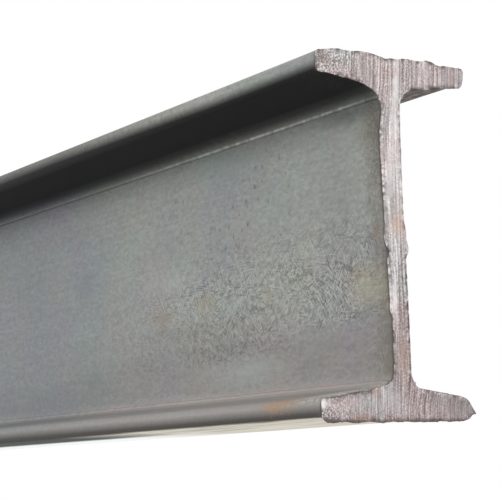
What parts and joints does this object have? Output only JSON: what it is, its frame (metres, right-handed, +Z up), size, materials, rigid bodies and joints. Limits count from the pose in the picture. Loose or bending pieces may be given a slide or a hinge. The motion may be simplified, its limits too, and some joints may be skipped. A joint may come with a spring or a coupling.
{
  "type": "steel i-beam",
  "caption": "Straight hot-rolled steel I-beam with tapered flanges, filleted web roots and rough-cut ends, used as a joist, lintel or rail.",
  "frame": {"origin": "middle of the underside of the lower flange, halfway along the beam", "axes": "+X along the length, towards the end that the picture shows; +Y across the flanges; +Z up through the web"},
  "size_m": [1, 0.042, 0.08],
  "materials": {
    "mill_scale_steel": "hot-rolled, matt blue-grey mill scale with light rust, ends cut bare"
  },
  "bodies": {
    "root": {"i_beam": "mill_scale_steel"}
  },
  "joints": []
}
